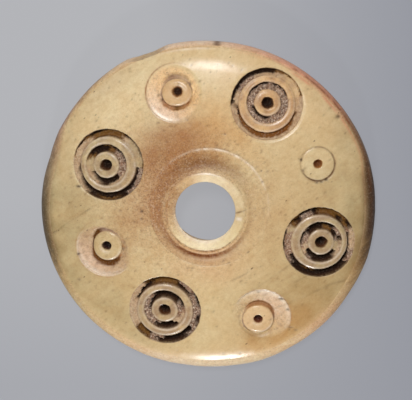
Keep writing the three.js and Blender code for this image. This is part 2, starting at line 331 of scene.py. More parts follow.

# The dirt around each small boss: turn in degrees, fill, and how wide it lies. The glow and the glint are
# painted highlights, inside the dish's rim and beside the pit.
SMALL_MOTIFS = [
    {
        "turn": 104, "outward": 0.7, "slip": (-0.15, 0.12),
        "lean": (1.5, -150), "pit": (0.03, 0.25), "nick": (30, 0.0),
        "glow": (-118, 36, 1.0), "boss": tone(216, 176, 128),
        "squash": (-82, 62, -0.36), "line": (160, 60, 0.8),
        "hollow": (0.54, tone(166, 114, 64), tone(48, 24, 8)), "glint": (62, 30, 0.86, 0.95),
        "dirt": [
            (-165, "mauve", 0.16), (-140, "tan", 0.4), (-110, "tan", 0.46), (-92, "amber", 0.46),
            (-60, "tan", 0.4), (-35, "tan", 0.24), (0, "bone", 0.05), (30, "mauve", 0.06),
            (60, "rose", 0.3), (110, "mauve", 0.45), (150, "rose", 0.15),
        ],
        "wash": tone(252, 212, 156),
    },
    {
        "turn": -65, "outward": 0.95, "slip": (0.3, 0.2),
        "lean": (4, 60), "pit": (0.0, 0.0), "nick": (5, 0.06),
        "glow": (62, 58, 0.95), "boss": tone(236, 204, 160),
        "squash": (90, 50, -0.06), "line": (25, 30, 0.35),
        "hollow": (0.45, tone(120, 62, 28), tone(70, 28, 14)), "glint": (-110, 60, 0.6, 0.3),
        "dirt": [
            (-175, "mauve", 0.05), (-150, "mauve", 0.14), (-130, "amber", 0.1), (-95, "bone", 0.1),
            (-60, "bone", 0.05), (-20, "bone", 0.05), (0, "mauve", 0.1), (25, "tan", 0.26),
            (60, "tan", 0.44), (95, "tan", 0.44), (125, "tan", 0.24), (150, "rose", 0.1),
        ],
        "wash": BONE,
    },
    {
        "turn": -158.6, "outward": -0.7, "slip": (-0.16, -0.2),
        "lean": (4, -125), "pit": (0.0, 0.05), "nick": (178, 0.16),
        "glow": (-112, 52, 0.75), "boss": tone(212, 188, 142),
        "squash": (180, 50, -0.1), "line": (150, 30, 0.2),
        "hollow": (0.46, tone(70, 32, 12), tone(24, 6, 4)), "glint": (-125, 60, 0.62, 0.6),
        "dirt": [
            (180, "open", 0.14), (-160, "umber", 0.24), (-140, "umber", 0.52), (-105, "umber", 0.66),
            (-75, "umber", 0.66), (-55, "umber", 0.42), (-35, "tan", 0.12), (-10, "bone", 0.05),
            (0, "tan", 0.2), (20, "bone", 0.05), (60, "mauve", 0.1), (92, "mauve", 0.25),
            (108, "mauve", 0.42), (122, "umber", 0.4), (136, "umber", 0.3), (160, "umber", 0.14),
        ],
        "wash": tone(188, 154, 118),
    },
]
SCRIBED_MOTIF = {
    "turn": 23.5, "outward": 0.8, "slip": (0, 0), "nick": (30, 0.06),
    "hollow": (SMALL_PIT_RADIUS, tone(168, 110, 50), tone(112, 66, 30)),
    "line": [
        (-150, 0.35), (-130, 0.7), (-100, 1.0), (-80, 0.75), (-60, 1.0), (-20, 0.9), (10, 0.75), (40, 0.5),
        (90, 0.45), (120, 0.2), (150, 0.05), (166, 0.8), (175, 0.05), (200, 0.3),
    ],
}

# Soft stains on the bone: centre and reach in millimetres, turn of the long axis, strength and colour. The
# olive rows are painted shade that darkens the left, lower left and right sides.
STAINS = [
    ((-3.6, 5.6), (4.2, 2.6), 20, 0.85, tone(176, 124, 70)),
    ((-0.8, 7.6), (3.4, 1.7), 10, 0.6, BROWN),
    ((-4.6, 6.1), (3.2, 2.2), 25, 0.5, tone(152, 90, 36)),
    ((-1.0, 5.2), (3.0, 1.2), 0, 0.4, tone(166, 112, 50)),
    ((0.4, -5.6), (4.0, 1.6), 0, 0.4, tone(226, 184, 144)),
    ((0.6, 9.6), (1.8, 2.6), 0, 0.4, HONEY),
    ((-5.6, 1.0), (2.6, 3.8), 0, 0.6, tone(184, 138, 98)),
    ((-8.2, -1.6), (2.0, 2.6), 0, 0.3, BROWN),
    ((-2.6, 3.2), (2.6, 2.0), 30, 0.35, BROWN),
    ((6.2, 0.2), (1.6, 4.0), 0, 0.25, BROWN),
    ((3.2, 8.0), (2.4, 2.4), 0, 0.35, HONEY),
    ((6.6, -13.6), (3.4, 1.2), 24, 0.55, HONEY),
    ((5.4, -12.4), (1.6, 1.0), 10, 0.55, AMBER),
    ((-9.6, 12.2), (2.6, 0.8), 40, 0.5, ROSE),
    ((0.0, -15.2), (9.0, 0.9), 0, 0.3, HONEY),
    ((-12.0, 6.0), (4.0, 6.0), 0, 0.3, CREAM),
    # Painted shade: olive towards the left, lower left and right sides
    ((-14.6, -3.0), (5.0, 9.0), 0, 0.55, OLIVE_SHADE),
    ((-8.0, -11.0), (5.0, 4.0), -30, 0.35, OLIVE_SHADE),
    ((14.6, -2.0), (4.0, 10.0), 0, 0.62, OLIVE_SHADE),
    ((8.0, -1.0), (3.4, 7.0), 0, 0.25, tone(190, 160, 112)),
    ((9.0, -5.6), (6.0, 2.6), 25, 0.25, tone(176, 146, 100)),
    ((15.2, -4.6), (2.0, 2.6), -15, 0.45, tone(126, 96, 58)),
    ((9.6, -9.6), (5.4, 3.8), 35, 0.55, tone(162, 134, 84)),
    ((7.6, -11.6), (4.2, 2.2), 25, 0.35, tone(206, 150, 88)),
    ((-4.0, 13.6), (6.0, 2.0), 10, 0.4, CREAM),
    ((-8.4, 10.0), (5.0, 3.6), 40, 0.4, tone(240, 222, 180)),
    ((6.6, 12.6), (6.0, 2.4), -30, 0.4, tone(238, 208, 162)),
]

# Where the bone is gritty, and how dull polished bone is
GRIT_CENTRE = (-2.6, 1.6)
GRIT_REACHES = (6.6, 6.0)
BONE_MATTE = 0.06

# Small pores at random: how many, and their reach, darkness, depth and the turn of their long axis
PORES = 460
PORE_SEED = 17
PORE_SIZES = (0.04, 0.1)
PORE_STRENGTHS = (0.1, 0.7)
PORE_DEPTH = 0.008
PORE_TURN = 39.7

# Pits and dark spots: place and reach in millimetres, depth, and how dark
SPOTS = [
    ((-6.25, -0.1), (0.16, 0.12), 0.15, 0.9),
    ((-6.3, -0.85), (0.12, 0.09), 0.12, 0.7),
    ((-7.0, -1.2), (0.2, 0.1), 0.05, 0.4),
    ((12.9, 9.3), (0.2, 0.16), 0.1, 0.8),
    ((5.5, 4.2), (0.1, 0.08), 0.05, 0.7),
    ((5.6, 3.1), (0.12, 0.08), 0.05, 0.6),
    ((1.9, 7.8), (0.12, 0.1), 0.05, 0.6),
    ((7.45, -9.0), (0.3, 0.13), 0.1, 0.8),
    ((8.05, -10.1), (0.15, 0.11), 0.08, 0.8),
    ((5.2, -8.25), (0.2, 0.1), 0.04, 0.5),
    ((-12.65, -4.85), (0.16, 0.12), 0.04, 0.8),
    ((-8.2, -4.1), (0.12, 0.2), 0.04, 0.6),
    ((-4.7, 11.4), (0.14, 0.14), 0.04, 0.6),
    ((-4.35, 11.0), (0.14, 0.14), 0.04, 0.6),
    ((-1.6, 12.6), (0.1, 0.25), 0.03, 0.5),
    ((-12.6, 2.05), (0.24, 0.12), 0.08, 0.95),
    ((9.35, 5.25), (0.12, 0.16), 0.03, 0.7),
    ((9.6, 4.15), (0.1, 0.16), 0.03, 0.6),
    ((11.8, 3.2), (0.18, 0.12), 0.05, 0.8),
    ((11.35, 3.0), (0.16, 0.1), 0.05, 0.8),
    ((10.9, 2.95), (0.14, 0.1), 0.05, 0.7),
    ((8.3, -11.95), (0.26, 0.1), 0.04, 0.5),
    ((8.8, -12.25), (0.16, 0.1), 0.04, 0.5),
    ((-12.6, -7.5), (0.16, 0.12), 0.04, 0.5),
]

# Hairlines: start, end, half width in millimetres, depth, and how dark
HAIRLINES = [
    ((-15.8, -3.3), (-11.1, 0.0), 0.06, 0.04, 0.45),
    ((3.8, -8.6), (9.6, -4.6), 0.1, 0.02, 0.2),
    ((6.4, -10.2), (14.6, -6.6), 0.12, 0.02, 0.22),
    ((8.8, -7.2), (12.0, -5.2), 0.07, 0.02, 0.25),
    ((2.6, -7.0), (4.4, -6.0), 0.08, 0.02, 0.3),
    ((-10.6, 4.4), (-8.0, 6.6), 0.06, 0.01, 0.12),
    ((9.8, -0.4), (12.6, 1.4), 0.06, 0.01, 0.12),
    ((3.6, 0.05), (4.0, 0.25), 0.07, 0.1, 0.5),
]

# Camera: the turn and tilt at which the photograph looks down, and the picture's width at the whorl
CAMERA_TILT = 14
CAMERA_TURN = 71
CAMERA_DISTANCE = 1.0
PICTURE_WIDTH_PX = 412
PIXEL_SIZE = 0.0986
ORIGIN_PX = (208.78, 201.71)
PICTURE_CENTRE_PX = (206, 200)
SENSOR_WIDTH = 36
CAMERA_CLIP = 10

# Noise on the bone: scale, detail and roughness, then the noise's span and how strongly it shows
BONE_NOISES = {
    "blotch": ((420, 3, 0.55), (0.3, 0.7, 0.0, 1.0)),
    "grain": ((1900, 5, 0.6), (0.45, 0.75, 0.0, 0.25)),
    "mottle": ((2600, 4, 0.65), (0.38, 0.62, 0.0, 1.0)),
    "pale": ((6000, 3, 0.7), (0.34, 0.47, 0.95, 0.0)),
    "dark": ((6600, 3, 0.7), (0.51, 0.64, 0.0, 0.85)),
}

# Small dots: scale, the chance above which a cell has one, and its reach
BONE_DOTS = [(1900.0, 0.72, 0.13), (800.0, 0.76, 0.075)]
GRAIN_TURN = 40
GRAIN_STRETCH = (2.2, 1.0, 1.0)

# Floor: half its width in metres, where it darkens to the right and to the viewer, and its share of light
FLOOR_HALF = 2.0
FLOOR_RIGHT = (-0.006, 0.021, 0.0, 1.0)
FLOOR_NEAR = (0.0, -0.019, 0.0, 0.45)
FLOOR_DIM = (0.15, 0.15, 0.15)

# Lights: name, direction, distance and size in metres, power in watts and colour
LIGHTS = [
    ("key_light", (-0.06, 0.45, 0.89), 0.5, (0.08, 0.13), 1.5, (0.99, 0.985, 0.99)),
    ("fill_light", (-0.02, -0.926, 0.379), 0.5, (0.07, 0.019), 1.4, (0.95, 0.98, 1.0)),
    ("broad_light", (-0.03, 0.5, 0.86), 0.8, (2.0, 2.0), 6.0, (1.0, 0.99, 0.97)),
]
WORLD_COLOUR = (0.9, 0.93, 1.0, 1.0)
WORLD_STRENGTH = 0.03

low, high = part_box("whorl")
rim_radius = (high.x - low.x) / 2 / MM
shoulder_radius = rim_radius - SIDE_BULGE
crown_rise = CROWN_HEIGHT - RIM_HEIGHT - SHOULDER_DROP
crown_radius = (shoulder_radius ** 2 + crown_rise ** 2) / (2 * crown_rise)
band_radius = (RECESS_RADIUS + rim_radius) / 2


def smooth(start, end, value):
    """Rises softly from 0 at start to 1 at end."""
    share = np.clip((value - start) / (end - start), 0, 1)
    return share * share * (3 - 2 * share)


def bump(value, reach):
    """A soft hill of height 1 around 0."""
    return np.exp(-(value / reach) ** 2)


def band(inner, outer, outside, within, value):
    """1 between two limits, with flanks that start so far outside them and end so far within."""
    return smooth(inner - outside, inner + within, value) * smooth(outer + outside, outer - within, value)


def ellipse(east, north, reaches, turn):
    """A soft hill of height 1 over an ellipse whose long axis lies at that turn."""
    lean = math.radians(turn)
    along = east * math.cos(lean) + north * math.sin(lean)
    across = north * math.cos(lean) - east * math.sin(lean)
    return np.exp(-((along / reaches[0]) ** 2 + (across / reaches[1]) ** 2))


def angle_gap(turn, other):
    """Degrees between two turns, the short way."""
    return np.abs((turn - other + 180) % 360 - 180)


def facing(turn, other, spread):
    """1 at the other turn, and softly less away from it."""
    return bump(angle_gap(turn, other), spread)


def polar(east, north):
    """Reach, and turn in degrees, of flat points."""
    return np.hypot(east, north), np.degrees(np.arctan2(north, east))


def circle(steps):
    """The x and y of points around a circle of radius 1."""
    turn = np.arange(steps) * 2 * math.pi / steps
    return np.stack((np.cos(turn), np.sin(turn)), -1)


def distance(points, centre):
    return np.hypot(points[:, 0] - centre[0], points[:, 1] - centre[1])


def noise(x, y, cell, seed):
    """Smooth noise from -1 to 1 on a square lattice with cells of that size."""
    grid = np.random.default_rng(seed).uniform(-1, 1, (NOISE_GRID, NOISE_GRID))
    column, row = np.floor(x / cell).astype(int), np.floor(y / cell).astype(int)
    across, along = smooth(0, 1, x / cell - column), smooth(0, 1, y / cell - row)
    left, right = column % NOISE_GRID, (column + 1) % NOISE_GRID
    near, far = row % NOISE_GRID, (row + 1) % NOISE_GRID
    lower = grid[left, near] * (1 - across) + grid[right, near] * across
    upper = grid[left, far] * (1 - across) + grid[right, far] * across
    return lower * (1 - along) + upper * along


def around(table, turn):
    """A table of values or of colours by turn, read at every turn."""
    turns = [row[0] for row in table]
    values = np.array([row[1] for row in table], float)
    if values.ndim == 1:
        return np.interp(turn, turns, values, period=360)
    return np.stack([np.interp(turn, turns, column, period=360) for column in values.T], -1)


def read(profile, reach):
    """A profile of [reach, depth] rows, read at every reach."""
    return np.interp(reach, *zip(*profile))


def dome_height(radius):
    sag = crown_radius - np.sqrt(crown_radius ** 2 - radius ** 2)
    shoulder = np.maximum(0, (radius - shoulder_radius + SHOULDER_WIDTH) / SHOULDER_WIDTH)
    return CROWN_HEIGHT - sag - SHOULDER_DROP * shoulder ** SHOULDER_POWER


def dome_slope(radius):
    step = 0.01
    return (dome_height(radius - step) - dome_height(radius + step)) / (2 * step)


def side_radius(height):
    return rim_radius - SIDE_BULGE * ((height - RIM_HEIGHT / 2) / (RIM_HEIGHT / 2)) ** 2


def unit(vector):
    return vector / np.linalg.norm(vector)


class Place:
    """A spot on the dome with its own flat frame: east and north lie in the surface, up stands on it."""

    def __init__(self, motif):
        reach = band_radius + motif["outward"]
        self.x = reach * math.cos(math.radians(motif["turn"]))
        self.y = reach * math.sin(math.radians(motif["turn"]))
        slope = dome_slope(reach) / reach
        self.centre = np.array((self.x, self.y, dome_height(reach)))
        self.up = unit(np.array((slope * self.x, slope * self.y, 1)))
        self.east = unit(np.array((1, 0, 0)) - self.up * self.up[0])
        self.north = np.cross(self.up, self.east)

    def flat(self, points):
        """East and north distances of points from the centre."""
        offset = points - self.centre
        return offset @ self.east, offset @ self.north

    def ring(self, radius, slip, steps):
        """The x and y of a ring of points around the slipped centre."""
        east, north = (circle(steps) * radius + slip).T
        sag = (east ** 2 + north ** 2) / (2 * crown_radius)
        spots = np.outer(east, self.east) + np.outer(north, self.north) - np.outer(sag, self.up)
        return (spots + self.centre)[:, :2]


def ring_share(radius):
    """A large motif's inner rings keep to the boss's centre and its outer ones to the slipped centre."""
    return smooth(RING_INNER + 0.1, RING_OUTER - 0.1, radius)


def dish_share(radius):
    """A small motif's boss keeps its centre, and the rim of its dish has the slipped one."""
    return smooth(SMALL_BOSS_RADIUS + 0.2, DISH_RADIUS - 0.3, radius)


def rim_drift(radius, turn):
    """How far a point is carried outwards where the rim is out of round."""
    return around(RIM_DRIFT, turn) * smooth(shoulder_radius - 3.5, shoulder_radius - 0.3, radius)


def wear_at(turn):
    """How far the rim's upper edge is worn at each turn."""
    crisp = smooth(CRISP_REACH + CRISP_FADE, CRISP_REACH, angle_gap(turn, CRISP_TURN))
    return ROUND_WEAR + (CRISP_WEAR - ROUND_WEAR) * crisp


def flake_radius(turn, height):
    """The reach of the scoop that took the flake off the rim, or a large number away from it."""
    reach = rim_radius + FLAKE_RADIUS - FLAKE_BITE
    gap = np.radians(angle_gap(turn, FLAKE_TURN))
    inside = FLAKE_RADIUS ** 2 - (reach * np.sin(gap)) ** 2
    wall = reach * np.cos(gap) - np.sqrt(np.maximum(0, inside))
    wall = wall - FLAKE_LEAN * (height - RIM_HEIGHT / 2) + 0.03 * noise(turn / 2.2, height, 0.5, 91)
    return np.where((inside > 0) & (gap < 1), wall, 10 * rim_radius)


def top_edge_radius(turn):
    worn = shoulder_radius - wear_at(turn) - 0.02
    return np.minimum(worn + rim_drift(worn, turn), flake_radius(turn, RIM_HEIGHT) - 0.02)


def rim_share(reach, turn):
    """How much of the rim's tint and painted shade shows, from none on the dome to all of it on the side."""
    edge = shoulder_radius - wear_at(turn)
    worn = smooth(CRISP_WEAR, ROUND_WEAR, wear_at(turn))
    return smooth(edge - 0.15 - 0.5 * worn, shoulder_radius + 0.08 - 0.2 * worn, reach) ** 1.2


def ring_steps(radius):
    """How many mesh points lie on a motif's ring."""
    return max(RING_LEAST_STEPS, int(2 * math.pi * radius / RING_STEP)) if radius else 1


def motif_rings():
    """Every motif's place, with the radius and slip of each of its mesh rings."""
    for motifs, radii, share in (
        (LARGE_MOTIFS, LARGE_RINGS, ring_share), (SMALL_MOTIFS, SMALL_RINGS, dish_share),
        ([SCRIBED_MOTIF], SCRIBED_RINGS, dish_share),
    ):
        for motif in motifs:
            yield Place(motif), [(radius, np.array(motif["slip"]) * share(radius)) for radius in radii]


def lattice():
    """The x and y of an even lattice of triangles across the whorl."""
    rows = np.arange(-rim_radius, rim_radius, LATTICE_STEP * math.sqrt(3) / 2)
    columns = np.arange(-rim_radius, rim_radius, LATTICE_STEP)
    x, y = np.meshgrid(columns, rows)
    x = x + (np.arange(len(rows)) % 2 * LATTICE_STEP / 2)[:, None]
    return np.stack((x.ravel(), y.ravel()), -1)


def top_points():
    """The x and y of the upper side's points, first those on the bore's edge, then those on the rim's."""
    bore = circle(BORE_STEPS)
    rim = circle(RIM_STEPS) * top_edge_radius(np.arange(RIM_STEPS) * 360 / RIM_STEPS)[:, None]
    rings = [bore * radius for radius in LIP_RINGS]
    rings += [circle(RECESS_STEPS) * (RECESS_RADIUS + gap) + np.array(RECESS_CENTRE) for gap in RECESS_GAPS]
    points = lattice()
    radius, turn = polar(*points.T)
    keep = (radius > LIP_RINGS[-1] + LATTICE_STEP / 2) & (radius < top_edge_radius(turn) - LATTICE_STEP / 2)
    keep &= np.abs(distance(points, RECESS_CENTRE) - RECESS_RADIUS) > RECESS_GAPS[-1] + LATTICE_STEP / 2
    for place, slipped_radii in motif_rings():
        outer, slip = slipped_radii[-1]
        keep &= distance(points, place.ring(0, slip, 1)[0]) > outer + LATTICE_STEP / 3
        rings += [place.ring(radius, slip, ring_steps(radius)) for radius, slip in slipped_radii]
    free = np.concatenate(rings + [points[keep]])
    radius, turn = polar(*free.T)
    free = free[radius < top_edge_radius(turn) - EDGE_GAP]
    return np.concatenate((bore * LIP_RADIUS, rim, free))


class Coat:
    """The tint, dullness and grit of some points."""

    def __init__(self, count, matte, grit):
        self.tint = np.tile(BONE, (count, 1))
        self.matte = np.full(count, matte)
        self.grit = grit

    def paint(self, weight, colour, matte=None, grit=None):
        weight = np.clip(weight, 0, 1)
        self.tint = self.tint * (1 - weight[:, None]) + colour * weight[:, None]
        if matte is not None:
            self.matte = self.matte * (1 - weight) + matte * weight
        if grit is not None:
            self.grit = self.grit * (1 - weight) + grit * weight


class Surface(Coat):
    """The upper side's points, and how far each is shifted."""

    def __init__(self, flat_points):
        self.x, self.y = flat_points.T
        self.radius, self.turn = polar(self.x, self.y)
        grit_x, grit_y = GRIT_CENTRE
        gritty = ellipse(self.x - grit_x, self.y - grit_y, GRIT_REACHES, 0)
        super().__init__(len(self.x), BONE_MATTE, 0.1 + 0.6 * gritty)
        height = dome_height(self.radius - rim_drift(self.radius, self.turn))
        self.base = np.stack((self.x, self.y, height), -1)
        self.shift = np.zeros_like(self.base)

    def sink(self, depth, up=UPRIGHT):
        self.shift -= depth[:, None] * up

    def noise(self, cell, seed):
        return noise(self.x, self.y, cell, seed)


def stepped(turns, values, turn):
    """Values given at some turns, read at every turn, and held near each of them before they change."""
    order = np.argsort(np.mod(turns, 360))
    turns, values = np.mod(turns, 360)[order], np.asarray(values, float)[order]
    after = np.searchsorted(turns, turn % 360) % len(turns)
    before = (after - 1) % len(turns)
    gap = (turns[after] - turns[before]) % 360
    share = smooth(0.15, 0.85, ((turn - turns[before]) % 360) / gap)[:, None]
    return values[before] * (1 - share) + values[after] * share


def groove_fill(table, turn, across):
    """The fill at each turn and share across a groove."""
    turns = [row[0] for row in table]
    inner = stepped(turns, [row[1] for row in table], turn)
    outer = stepped(turns, [row[2] for row in table], turn)
    split = around([(row[0], row[3]) for row in table], turn)
    weight = smooth(-0.06, 0.06, across - split)[:, None]
    return inner * (1 - weight) + outer * weight


def cut_pit(surface, place, depth, hollow, nick, offset=(0, 0)):
    """Drills a pit with a slightly uneven edge that is nicked at one turn."""
    radius, wall, core = hollow
    east, north = place.flat(surface.base)
    reach, turn = polar(east - offset[0], north - offset[1])
    uneven = 1 + 0.05 * noise(turn / 20, reach * 0 + place.x, 1, 5) + nick[1] * facing(turn, nick[0], 22)
    share = reach / (radius * uneven)
    surface.sink(depth * read(PIT_PROFILE, share), place.up)
    # Dirt and painted shade: the pit darkens from its wall colour to a dark core towards its deep middle
    surface.paint(smooth(1.04, 0.9, share), wall, 0.8, 0.1)
    surface.paint(smooth(0.95, 0.55, share), core, 0.9, 0.1)


def cut_groove(surface, place, polar_place, inner, outer, fills, seed):
    """Cuts one ring-shaped groove and lays in what has settled there."""
    reach, turn = polar_place
    coarse, fine = surface.noise(0.34, seed), surface.noise(0.13, seed + 1)
    uneven = reach + 0.025 * surface.noise(0.5, seed + 2) + 0.03 * fine
    cut = band(inner, outer, 0.02, WALL_WIDTH, uneven)
    across = (reach - inner) / (outer - inner)
    values = groove_fill(fills, turn + 4 * coarse + 2 * fine, across + 0.07 * coarse + 0.1 * fine)
    fullness, crumbs, speckle, cover, matte = values[:, :5].T
    crumbling = 0.11 * crumbs * (fine + 0.5 * coarse)
    level = np.maximum(0, GROOVE_DEPTH * (1 - fullness) + crumbling)
    near = (reach > inner - 0.3) & (reach < outer + 0.3)
    surface.sink(np.where(near, np.minimum(GROOVE_DEPTH * cut, level), 0), place.up)
    specks = 0.45 * speckle * smooth(0.0, 0.5, 0.6 * fine + 0.6 * surface.noise(0.24, seed + 3))
    colour = values[:, 5:] * (1 - specks[:, None]) + SOOT_AND_SHADE * specks[:, None]
    surface.paint(cover * band(inner, outer, 0.03, 0.03, uneven), colour, matte, speckle)
    # Dirt and painted shade: the walls darken, more where the groove is empty and deep
    wall_dirt_and_shade = bump(reach - inner - 0.03, 0.06) + bump(reach - outer + 0.03, 0.06)
    surface.paint(wall_dirt_and_shade * (0.75 - 0.62 * fullness), UMBER * 0.6, 0.8)


def round_edges(surface, place, reach, edges):
    """Wears the sharp upper edges of rings and bosses."""
    for edge, side, depth in edges:
        inward = side * (edge - reach)
        worn = depth * bump(np.maximum(0, inward), EDGE_ROUND)
        surface.sink(np.where(inward > -0.4, worn, 0), place.up)


def cut_large_motif(surface, motif, seed):
    place = Place(motif)
    east, north = place.flat(surface.base)
    share = ring_share(np.hypot(east, north))
    reach, turn = polar(east - share * motif["slip"][0], north - share * motif["slip"][1])
    width, depth, bevel_turn = motif["bevel"]
    bevel = smooth(GROOVE_OUTER + width, GROOVE_OUTER - 0.02, reach)
    bevel = bevel * (reach > GROOVE_OUTER - 0.02) * (0.25 + 0.75 * facing(turn, bevel_turn, 80))
    surface.sink(depth * bevel, place.up)
    surface.paint(0.35 * bevel, CREAM, 0.25, 0.3)
    patchy = 0.6 + 0.25 * surface.noise(0.5, seed + 5)
    within = reach < GROOVE_OUTER
    surface.paint(1.2 * patchy * within, motif["land"], 0.05, 0.25)
    surface.paint(0.5 * smooth(0.3, 0.8, patchy) * within, MAUVE)
    round_edges(surface, place, reach, LARGE_EDGES)
    # Painted highlights: pale lines along the edges of the boss and rings, strongest at the lower right and
    # upper left
    lit = 0.3 + 0.7 * np.maximum(facing(turn, -80, 90), facing(turn, 120, 36))
    for edge, side, _ in LARGE_EDGES:
        surface.paint(0.7 * lit * patchy * bump(side * (edge - reach) - 0.13, 0.09), CHALK_AND_HIGHLIGHT, 0.0)
    cut_groove(surface, place, (reach, turn), BOSS_RADIUS, RING_INNER, motif["inner"], seed)
    cut_groove(surface, place, (reach, turn), RING_OUTER, GROOVE_OUTER, motif["outer"], seed + 10)
    cut_pit(surface, place, PIT_DEPTH, (PIT_RADIUS, UMBER, SOOT_AND_SHADE), motif["nick"])


def colour_dish(surface, motif, from_rim, turn, floor, fringe, fine):
    """A wash on the dish's floor, and thin lines and painted highlights along its rim."""
    glow_turn, glow_spread, glow = motif["glow"]
    surface.paint(0.6 * floor, motif["wash"], 0.3, 0.4)
    # Painted light: the floor is paler towards the painted highlight's turn
    surface.paint(0.6 * floor * facing(turn, glow_turn - 15, 60), tone(244, 214, 190))
    surface.paint(0.35 * floor * smooth(0.1, 0.8, fine), MAUVE, 0.7)
    surface.paint(0.5 * fringe * bump(from_rim, 0.06), CHALK_AND_HIGHLIGHT)
    # Painted highlight: a pale crescent just inside the rim at the glow's turn
    lit = glow * facing(turn, glow_turn, glow_spread) * bump(from_rim + 0.18, 0.19)
    surface.paint(lit * (0.85 + 0.3 * fine), CHALK_AND_HIGHLIGHT, 0.0, 0.1)
    surface.paint(fringe * bump(from_rim - 0.1, 0.06) * (0.2 + 0.4 * smooth(-0.2, 0.6, fine)), RUST)
    line_turn, line_spread, strength = motif["line"]
    thin = bump(from_rim - 0.04, 0.07) * facing(turn, line_turn, line_spread) * (1 + 0.4 * fine)
    surface.paint(strength * thin, tone(150, 96, 46))


def colour_boss(surface, motif, from_boss, reach, turn):
    """The small boss's own colour, a painted highlight along its edge at the lower right, and a painted glint
    beside its pit.
    """
    surface.paint(0.7 * smooth(0.0, -0.05, from_boss), motif["boss"])
    # Painted highlight along the boss's edge at the lower right
    surface.paint(0.5 * bump(from_boss + 0.1, 0.09) * facing(turn, -60, 60), CHALK_AND_HIGHLIGHT, 0.0)
    # Painted glint beside the pit
    glint_turn, glint_spread, glint_reach, glint = motif["glint"]
    lit = glint * facing(turn, glint_turn, glint_spread)
    surface.paint(lit * bump(reach - glint_reach, 0.12), CHALK_AND_HIGHLIGHT, 0.0)


def cut_small_motif(surface, motif, seed):
    """Cuts a sloping dish around a raised boss, with dirt at the boss's foot and a pit in its middle."""
    place = Place(motif)
    east, north = place.flat(surface.base)
    reach, turn = polar(east, north)
    from_rim = np.hypot(east - motif["slip"][0], north - motif["slip"][1]) - DISH_RADIUS
    squash_turn, squash_spread, squash = motif["squash"]
    from_boss = reach - SMALL_BOSS_RADIUS - squash * facing(turn, squash_turn, squash_spread)
    fine = surface.noise(0.2, seed)
    lean, lean_turn = math.tan(math.radians(motif["lean"][0])), math.radians(motif["lean"][1])
    dish = DISH_DEPTH * np.clip(from_rim / (SMALL_BOSS_RADIUS - DISH_RADIUS), 0, 1)
    dish = dish + lean * (east * math.cos(lean_turn) + north * math.sin(lean_turn))
    cut = np.clip(dish, 0, DISH_DEEPEST) * smooth(0.03, -0.08, from_rim + 0.03 * fine)
    cut = cut * smooth(-0.01, 0.12, from_boss)
    fills = around([(row[0], FILLS[row[1]]) for row in motif["dirt"]], turn)
    widths = around([(row[0], row[2]) for row in motif["dirt"]], turn)
    moat = smooth(-0.06, 0.03, from_boss) * smooth(1.12, 0.78, (from_boss + 0.06 * fine) / (widths + 0.03))
    surface.sink(cut + 0.14 * moat * (1 - fills[:, 0]), place.up)
    round_edges(surface, place, from_boss, SMALL_EDGES)
    colour_dish(surface, motif, from_rim, turn, smooth(0.01, 0.12, cut), smooth(0.02, 0.12, dish), fine)
    surface.paint(moat * fills[:, 3], fills[:, 5:], fills[:, 4], 0.15)
    colour_boss(surface, motif, from_boss, reach, turn)
    cut_pit(surface, place, SMALL_PIT_DEPTH, motif["hollow"], motif["nick"], motif["pit"])


def cut_scribed_motif(surface, motif, seed):
    """Scribes one thin ring around a pit."""
    place = Place(motif)
    reach, turn = polar(*place.flat(surface.base))
    strength = np.clip(around(motif["line"], turn) + 0.2 * surface.noise(0.2, seed), 0, 1)
    line = bump(reach - SCRIBED_RADIUS, SCRIBED_WIDTH)
    surface.sink(SCRIBED_DEPTH * line * (0.3 + 0.7 * strength), place.up)
    surface.paint(0.25 * smooth(SCRIBED_RADIUS, SCRIBED_RADIUS - 0.1, reach), CREAM)
    surface.paint(line * strength, UMBER, 0.8)
    cut_pit(surface, place, SMALL_PIT_DEPTH, motif["hollow"], motif["nick"])


def cut_recess(surface):
    """Sinks the recess around the lip, crisp on the viewer's side and worn on the other."""
    radius, turn = surface.radius, surface.turn
    from_edge = distance(surface.base, RECESS_CENTRE) - RECESS_RADIUS
    inside = smooth(0.02, -0.03, from_edge + 0.02 * surface.noise(0.6, 61))
    share = (radius - LIP_RADIUS) / np.maximum(0.1, radius - LIP_RADIUS - from_edge)
    stretched = LIP_RADIUS + np.clip(share, 0, 1) * (RECESS_PROFILE[-1][0] - LIP_RADIUS)
    near_lip = smooth(4.9, 4.5, radius)
    profile_radius = radius * near_lip + np.maximum(stretched, radius.clip(max=4.7)) * (1 - near_lip)
    crisp = 0.15 + 0.85 * facing(turn, -95, 68)
    depth = read(RECESS_PROFILE, profile_radius) * crisp + read(WORN_PROFILE, profile_radius) * (1 - crisp)
    surface.sink(depth * inside)
    colour_recess(surface, from_edge, inside, turn)


